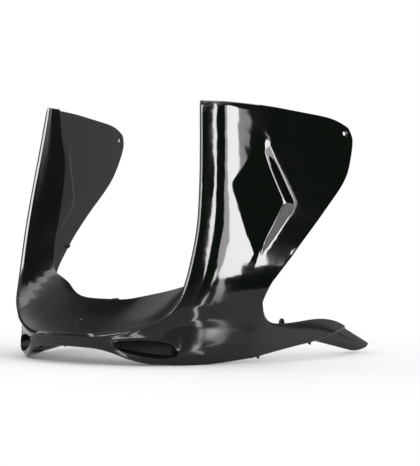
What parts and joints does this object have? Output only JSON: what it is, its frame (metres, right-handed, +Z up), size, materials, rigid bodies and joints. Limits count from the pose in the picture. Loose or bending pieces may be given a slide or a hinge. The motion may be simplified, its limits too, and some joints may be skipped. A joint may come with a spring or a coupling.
{
  "type": "motorcycle lower leg shield fairing",
  "caption": "Glossy black moulded lower leg shield fairing with two tall wings, a wheel well, two blind air intakes and two long tails with tongues.",
  "frame": {"origin": "on the ground under the centre of the part", "axes": "+X sideways from the near wing's side, +Y to the rear of the machine, +Z up"},
  "size_m": [0.4706, 0.4841, 0.3695],
  "materials": {
    "gloss_black": "gloss outside, fine matte grain on the inside of the wings"
  },
  "bodies": {
    "root": {"fairing_shell": "gloss_black"}
  },
  "joints": []
}
